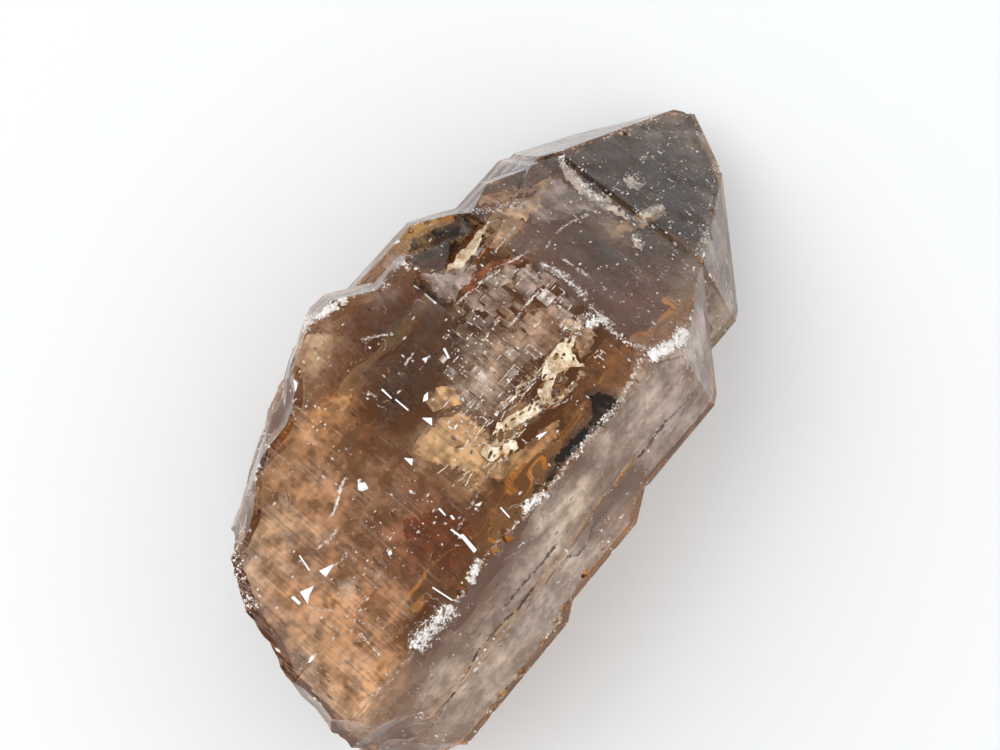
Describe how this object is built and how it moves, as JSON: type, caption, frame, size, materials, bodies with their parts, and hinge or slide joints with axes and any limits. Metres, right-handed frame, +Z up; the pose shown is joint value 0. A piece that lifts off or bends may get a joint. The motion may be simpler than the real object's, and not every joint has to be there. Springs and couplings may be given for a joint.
{
  "type": "rough smoky quartz crystal",
  "caption": "Rough smoky quartz crystal, a stepped six-sided prism with a pointed end and a broken base, lying on its side.",
  "frame": {"origin": "under the middle of the crystal's box, on the surface that it lies on", "axes": "+X along the crystal's axis towards the tip, +Z up, square to the large front prism face"},
  "size_m": [0.17, 0.0882, 0.0672],
  "materials": {
    "smoky_quartz": "clear to cloudy smoky brown crystal, glassy faces with fine growth lines, white bruised edges"
  },
  "bodies": {
    "root": {"smoky_quartz_crystal": "smoky_quartz"}
  },
  "joints": []
}
